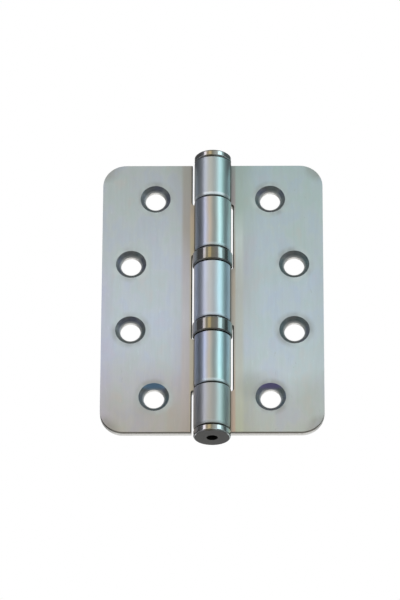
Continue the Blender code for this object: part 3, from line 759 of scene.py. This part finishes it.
pastLeaf = leafTop + leafSheet["thickness"]
rightLeaf = makeLeaf(
    "rightLeafSheet", 1, [topKnuckle, middleKnuckle, (-topKnuckle[1], -topKnuckle[0])],
    [(middleKnuckle[1], topKnuckle[0]), (-topKnuckle[0], middleKnuckle[0])], rightSheet)
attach(rightLeaf, "fixed_leaf")
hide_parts("right_leaf")
print("right leaf rolled, notched and drilled:", len(rightLeaf.data.polygons), "faces")

leftLeaf = makeLeaf(
    "leftLeafSheet", -1, [innerKnuckle, (-innerKnuckle[1], -innerKnuckle[0])],
    [(innerKnuckle[1], pastLeaf), (-innerKnuckle[0], innerKnuckle[0]), (-pastLeaf, -innerKnuckle[1])],
    leftSheet)
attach(leftLeaf, "swinging_leaf")
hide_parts("left_leaf")
print("left leaf rolled, notched and drilled:", len(leftLeaf.data.polygons), "faces")


def turnPiece(name, stations, rounding, finishes, hollow=True):
    # one ring drawn out and sized from station to station, as a profile is cut on a lathe;
    # a station is a radius and a height
    letGo()
    radius, height = stations[0]
    bpy.ops.mesh.primitive_circle_add(vertices=turnedSides, radius=radius, location=(0, 0, height))
    piece = bpy.context.object
    piece.name = name
    settle()
    bpy.ops.object.mode_set(mode="EDIT")
    bpy.ops.mesh.select_mode(type="EDGE")
    bpy.ops.mesh.select_all(action="SELECT")
    for nextRadius, nextHeight in stations[1:]:
        bpy.ops.mesh.extrude_edges_move(TRANSFORM_OT_translate={"value": (0, 0, nextHeight - height)})
        if nextRadius != radius:
            ratio = nextRadius / radius
            bpy.ops.transform.resize(value=(ratio, ratio, 1), center_override=(0, 0, nextHeight))
        radius, height = nextRadius, nextHeight

    def onRing(ring, *ends):
        return all(close(math.hypot(p.x, p.y), ring[0]) and close(p.z, ring[1]) for p in ends)

    first, last = stations[0], stations[-1]
    if hollow:
        chooseEdges(lambda a, b: onRing(first, a, b) or onRing(last, a, b))
        bpy.ops.mesh.bridge_edge_loops()
    else:
        for ring in (first, last):
            chooseEdges(lambda a, b: onRing(ring, a, b))
            bpy.ops.mesh.edge_face_add()
            bpy.ops.mesh.inset(thickness=ring[0] * 0.5)
            bpy.ops.mesh.poke()
    mergeDoubles()
    bpy.ops.mesh.normals_make_consistent(inside=False)
    bpy.ops.object.mode_set(mode="OBJECT")
    for finish in finishes:
        piece.data.materials.append(finish)
    if rounding:
        useModifier(piece, "BEVEL", limit_method="ANGLE", angle_limit=math.radians(34), width=rounding,
                    segments=3, use_clamp_overlap=True)
    smoothOff(piece, 32)
    return piece


loosePin = {
    "tip": -0.0435,
    "tipBevel": 0.001,
    "headSeat": 0.05115,
    "headTop": 0.05365,
    "headEdge": 0.0005,
    "rounding": 0.00012,
}


def makePin():
    p = loosePin
    pin = turnPiece("loosePin", [
        (pinRadius - p["tipBevel"], p["tip"]),
        (pinRadius, p["tip"] + p["tipBevel"]),
        (pinRadius, p["headSeat"]),
        (barrelRadius - p["headEdge"], p["headSeat"]),
        (barrelRadius, p["headSeat"] + p["headEdge"]),
        (barrelRadius, p["headTop"] - p["headEdge"]),
        (barrelRadius - p["headEdge"], p["headTop"]),
    ], p["rounding"], [turnedCap, groundShank, facedHead], hollow=False)
    finishFaces(pin, 1, lambda c, n: c.z < p["headSeat"] - margin)
    finishFaces(pin, 2, lambda c, n: close(c.z, p["headTop"]))
    return pin


pin = makePin()
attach(pin, "loose_pin")
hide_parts("hinge_pin")
print("pin turned with its head:", len(pin.data.polygons), "faces")

bottomPlug = {
    "flangeTop": -0.05115,
    "bottom": -0.05365,
    "edge": 0.0004,
    "footRounding": 0.0006,
    "footTurns": (0, 18, 36, 54, 72, 90),
    "spigotRadius": 0.0033,
    "spigotTop": -0.044,
    "spigotEdge": 0.0005,
    "holeRadius": 0.0019,
    "rounding": 0.00012,
}


def makePlug():
    p = bottomPlug
    turns = [math.radians(turn) for turn in p["footTurns"]]
    plug = turnPiece("bottomPlug", [
        (p["holeRadius"], p["bottom"]),
        *[(barrelRadius - p["footRounding"] * (1 - math.sin(a)),
           p["bottom"] + p["footRounding"] * (1 - math.cos(a))) for a in turns],
        (barrelRadius, p["flangeTop"] - p["edge"]),
        (barrelRadius - p["edge"], p["flangeTop"]),
        (p["spigotRadius"], p["flangeTop"]),
        (p["spigotRadius"], p["spigotTop"] - p["spigotEdge"]),
        (p["spigotRadius"] - p["spigotEdge"], p["spigotTop"]),
        (p["holeRadius"], p["spigotTop"]),
    ], p["rounding"], [turnedCap, facedEndInPaintedShade])
    finishFaces(plug, 1, lambda c, n: c.z < p["bottom"] + margin / 2
                or math.hypot(c.x, c.y) < p["holeRadius"] + margin)
    return plug


plug = makePlug()
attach(plug, "fixed_leaf")
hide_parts("bottom_plug")
print("bottom plug turned:", len(plug.data.polygons), "faces")

thrustBearing = {
    "height": 0.0052,
    "centres": {"upper": 0.01345, "lower": -0.01345},
    "shellRadius": 0.00685,
    "shellBore": 0.00625,
    "lipBore": 0.00485,
    "lipThickness": 0.0006,
    "shellEdge": 0.0004,
    "topStep": 0.0003,
    "raceBore": 0.0035,
    "raceRadius": 0.0061,
    "seatGap": 0.00015,
    "raceSpacing": 0.00132,
    "ballPitch": 0.0048,
    "ballRadius": 0.0008,
    "grooveRadius": 0.00086,
    "grooveDepth": 0.0002,
    "grooveSteps": 8,
    "balls": 10,
    "cageThickness": 0.0005,
    "cageInner": 0.0035,
    "cageOuter": 0.006,
    "cageRounding": 0.00006,
    "pocketRadius": 0.0009,
    "pocketSteps": 32,
    "rounding": 0.00008,
}
# the body that each part of a bearing rides on
bearingBodies = {
    "upper": {"shell": "fixed_leaf", "bottom": "fixed_leaf", "top": "swinging_leaf",
              "set": "upper_ball_set"},
    "lower": {"shell": "swinging_leaf", "bottom": "swinging_leaf", "top": "fixed_leaf",
              "set": "lower_ball_set"},
}


def makeShell(name, bottom, top):
    # a cup that holds the lower race, with a lip at its foot
    b = thrustBearing
    rim = top - b["topStep"]
    return turnPiece(name, [
        (b["lipBore"], bottom),
        (b["shellRadius"] - b["shellEdge"], bottom),
        (b["shellRadius"], bottom + b["shellEdge"]),
        (b["shellRadius"], rim - b["shellEdge"]),
        (b["shellRadius"] - b["shellEdge"], rim),
        (b["shellBore"], rim),
        (b["shellBore"], bottom + b["lipThickness"]),
        (b["lipBore"], bottom + b["lipThickness"]),
    ], b["rounding"], [polishedRing])


def makeRace(name, outerFace, ballHeight):
    # a flat ring with a groove for the balls in the face that is turned to them
    b = thrustBearing
    up = 1 if outerFace > ballHeight else -1
    innerFace = ballHeight + up * b["raceSpacing"] / 2
    halfAngle = math.acos((b["grooveRadius"] - b["grooveDepth"]) / b["grooveRadius"])
    turns = [halfAngle * (2 * i / b["grooveSteps"] - 1) for i in range(b["grooveSteps"] + 1)]
    return turnPiece(name, [
        (b["raceBore"], innerFace),
        *[(b["ballPitch"] + b["grooveRadius"] * math.sin(a),
           ballHeight + up * b["grooveRadius"] * math.cos(a)) for a in turns],
        (b["raceRadius"], innerFace),
        (b["raceRadius"], outerFace),
        (b["raceBore"], outerFace),
    ], b["rounding"], [groundRace])


def makeCage(name, ballHeight):
    # a flat ring with a round pocket for each ball
    b = thrustBearing
    low, high = ballHeight - b["cageThickness"] / 2, ballHeight + b["cageThickness"] / 2
    cage = turnPiece(name, [(b["cageInner"], low), (b["cageOuter"], low), (b["cageOuter"], high),
                            (b["cageInner"], high)], 0, [pressedCage])
    for i in range(b["balls"]):
        a = math.tau * i / b["balls"]
        letGo()
        bpy.ops.mesh.primitive_cylinder_add(
            vertices=b["pocketSteps"], radius=b["pocketRadius"], depth=4 * b["cageThickness"],
            location=(b["ballPitch"] * math.cos(a), b["ballPitch"] * math.sin(a), ballHeight),
            rotation=(0, 0, a + math.pi / b["pocketSteps"]))
        punch = bpy.context.object
        settle()
        cutWith(cage, punch)
    takeUp(cage)
    bpy.ops.object.mode_set(mode="EDIT")
    mergeDoubles(cutMergeDistance)
    bpy.ops.mesh.dissolve_limited(angle_limit=flatAngle)
    bpy.ops.object.mode_set(mode="OBJECT")
    useModifier(cage, "BEVEL", limit_method="ANGLE", angle_limit=math.radians(40), width=b["cageRounding"],
                segments=2, use_clamp_overlap=True)
    smoothOff(cage, 34)
    return cage


def makeBall():
    # a cube divided and pulled round, so that it has no poles
    letGo()
    bpy.ops.mesh.primitive_cube_add(size=thrustBearing["ballRadius"])
    ball = bpy.context.object
    bpy.ops.object.mode_set(mode="EDIT")
    bpy.ops.mesh.select_all(action="SELECT")
    bpy.ops.mesh.subdivide(number_cuts=7)
    bpy.ops.transform.tosphere(value=1)
    bpy.ops.object.mode_set(mode="OBJECT")
    size = max(v.co.length for v in ball.data.vertices)
    ball.scale = [thrustBearing["ballRadius"] / size] * 3
    settle()
    bpy.ops.object.shade_smooth()
    ball.data.materials.append(bearingBall)
    return ball


firstBall = makeBall()
for which, bodies in bearingBodies.items():
    b = thrustBearing
    bottom, top = b["centres"][which] - b["height"] / 2, b["centres"][which] + b["height"] / 2
    seat = bottom + b["lipThickness"] + b["seatGap"]
    ballHeight = (seat + top) / 2

    shell = makeShell(which + "BearingShell", bottom, top)
    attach(shell, bodies["shell"])
    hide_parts(which + "_bearing_shell")

    for place, outerFace in (("top", top), ("bottom", seat)):
        race = makeRace(which + place.title() + "Race", outerFace, ballHeight)
        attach(race, bodies[place])
        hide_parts(which + "_bearing_" + place + "_race")

    cage = makeCage(which + "BallCage", ballHeight)
    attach(cage, bodies["set"])
    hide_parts(which + "_bearing_ball_cage")

    for i in range(b["balls"]):
        a = math.tau * i / b["balls"]
        ball = firstBall.copy()
        ball.data = firstBall.data.copy()
        ball.name = f"{which}Ball{i + 1:02d}"
        bpy.context.scene.collection.objects.link(ball)
        takeUp(ball)
        bpy.ops.transform.translate(
            value=(b["ballPitch"] * math.cos(a), b["ballPitch"] * math.sin(a), ballHeight))
        settle()
        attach(ball, bodies["set"])
        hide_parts(f"{which}_bearing_ball_{i + 1:02d}")
    print(which, "bearing made with", b["balls"], "balls")
bpy.data.objects.remove(firstBall)


studio = {
    "radius": 1.9,
    "cardSteps": 180,
    # each card's name, where it starts and ends in degrees to the right of the front, its lower and
    # upper edge, its colour and its strength
    "cards": [
        ("leftFlag", -160, -55, -0.84, 2.1, "#ffffff", 0.13),
        ("leftSoftbox", -55, -39, 0.45, 2.1, "#f4f2ff", 1.65),
        ("leftGreyCard", -39, -26, 0.45, 2.1, "#ffffff", 0.55),
        ("strawCard", -26, -8, 0.45, 2.1, "#fff4e0", 1.12),
        ("frontGreyCard", -8, 33, 0.45, 2.1, "#ffffff", 0.50),
        ("rightSoftbox", 33, 58, 0.45, 2.1, "#e6fbff", 1.80),
        ("rightGreyCard", 58, 74, 0.45, 2.1, "#dcf2f0", 0.62),
        ("lowFill", -55, 74, -0.1, 0.45, "#eef8ff", 1.27),
        ("lowFlag", -55, 74, -0.84, -0.1, "#ffffff", 0.16),
        ("rightFlag", 74, 150, -0.84, 2.1, "#e6f2f2", 0.18),
    ],
    # name, height, middle along y, size along x and y, strength
    "flats": [
        ("greyCeiling", 2.11, 0.3, 4.4, 4.6, 0.16),
        ("darkTable", -0.83, -0.35, 2.6, 2.4, 0.19),
        ("brightTable", -0.83, 1.75, 3.6, 1.8, 1.25),
    ],
    "floorHeight": -0.85,
    "floorSize": 12,
    "floorColour": "#f2f2f0",
    "lightOnPieces": 0.85,      # of the white room, which shows at full strength
}


def makeRoom():
    world = bpy.data.worlds.new("whiteRoom")
    bpy.context.scene.world = world
    world.use_nodes = True
    tree = world.node_tree
    tree.nodes.clear()
    path = addNode(tree, "ShaderNodeLightPath").node.outputs
    seen = addNode(tree, "ShaderNodeMath", {
        0: path["Is Camera Ray"], 1: path["Is Glossy Ray"]}, operation="ADD")
    seen = addNode(tree, "ShaderNodeMath", {
        0: seen, 1: path["Is Transmission Ray"]}, operation="ADD", use_clamp=True)
    level = addNode(tree, "ShaderNodeMapRange", {
        "Value": seen, "To Min": studio["lightOnPieces"], "To Max": 1})
    back = addNode(tree, "ShaderNodeBackground", {"Color": (1, 1, 1, 1), "Strength": level})
    addNode(tree, "ShaderNodeOutputWorld", {"Surface": back})


def hangUp(panel, name, colour, strength):
    # a glowing card that only shows in reflections
    panel.name = name
    material = bpy.data.materials.new(name)
    material.use_nodes = True
    tree = material.node_tree
    tree.nodes.clear()
    glow = addNode(tree, "ShaderNodeEmission", {"Color": hexColour(colour), "Strength": strength})
    addNode(tree, "ShaderNodeOutputMaterial", {"Surface": glow})
    panel.data.materials.append(material)
    panel.visible_camera = False
    panel.visible_diffuse = False
    panel.visible_shadow = False


def bendCard(start, end, low, high):
    # a strip of a circle round the hinge
    letGo()
    bpy.ops.mesh.primitive_circle_add(
        vertices=studio["cardSteps"], radius=studio["radius"], location=(0, 0, low))
    panel = bpy.context.object
    settle()
    bpy.ops.object.mode_set(mode="EDIT")
    chooseEdges(lambda *ends: not all(
        start - 0.01 <= math.degrees(math.atan2(p.x, -p.y)) <= end + 0.01 for p in ends))
    bpy.ops.mesh.delete(type="EDGE")
    bpy.ops.mesh.select_all(action="SELECT")
    bpy.ops.mesh.extrude_edges_move(TRANSFORM_OT_translate={"value": (0, 0, high - low)})
    bpy.ops.object.mode_set(mode="OBJECT")
    return panel


def layFlat(height, middle, width, length):
    letGo()
    bpy.ops.mesh.primitive_plane_add(size=1, location=(0, middle, height))
    panel = bpy.context.object
    panel.scale = (width, length, 1)
    settle()
    return panel


makeRoom()
for name, start, end, low, high, colour, strength in studio["cards"]:
    hangUp(bendCard(start, end, low, high), name, colour, strength)
for name, height, middle, width, length, strength in studio["flats"]:
    hangUp(layFlat(height, middle, width, length), name, "#ffffff", strength)

floor = layFlat(studio["floorHeight"], 0, studio["floorSize"], studio["floorSize"])
floor.name = "paleFloor"
floorPaint = bpy.data.materials.new("paleFloorPaint")
floorPaint.use_nodes = True
shader = floorPaint.node_tree.nodes["Principled BSDF"]
shader.inputs["Base Color"].default_value = hexColour(studio["floorColour"])
shader.inputs["Roughness"].default_value = 0.9
floor.data.materials.append(floorPaint)
print("studio set up")


view = {
    "azimuth": 0.67,
    "elevation": -26.88,
    "roll": 0.17,
    "distance": 1.5,
    "lens": 263.1,
    "right": 12.5,          # where the origin lies from the photo's centre, in its pixels
    "up": 4.5,
    "photoHeight": 600,
}
around, above = math.radians(view["azimuth"]), math.radians(view["elevation"])
back = Vector((math.sin(around) * math.cos(above), -math.cos(around) * math.cos(above), math.sin(above)))
camera = bpy.data.objects.new("photoCamera", bpy.data.cameras.new("photoCamera"))
bpy.context.scene.collection.objects.link(camera)
camera.location = back * view["distance"]
camera.rotation_mode = "QUATERNION"
turn = Quaternion((0, 0, 1), math.radians(view["roll"]))
camera.rotation_quaternion = (-back).to_track_quat("-Z", "Y") @ turn
camera.data.lens = view["lens"]
camera.data.clip_start, camera.data.clip_end = 0.05, 50
camera.data.shift_x = -view["right"] / view["photoHeight"]
camera.data.shift_y = -view["up"] / view["photoHeight"]
bpy.context.scene.camera = camera
bpy.context.scene.view_settings.view_transform = "Standard"
print("camera placed")
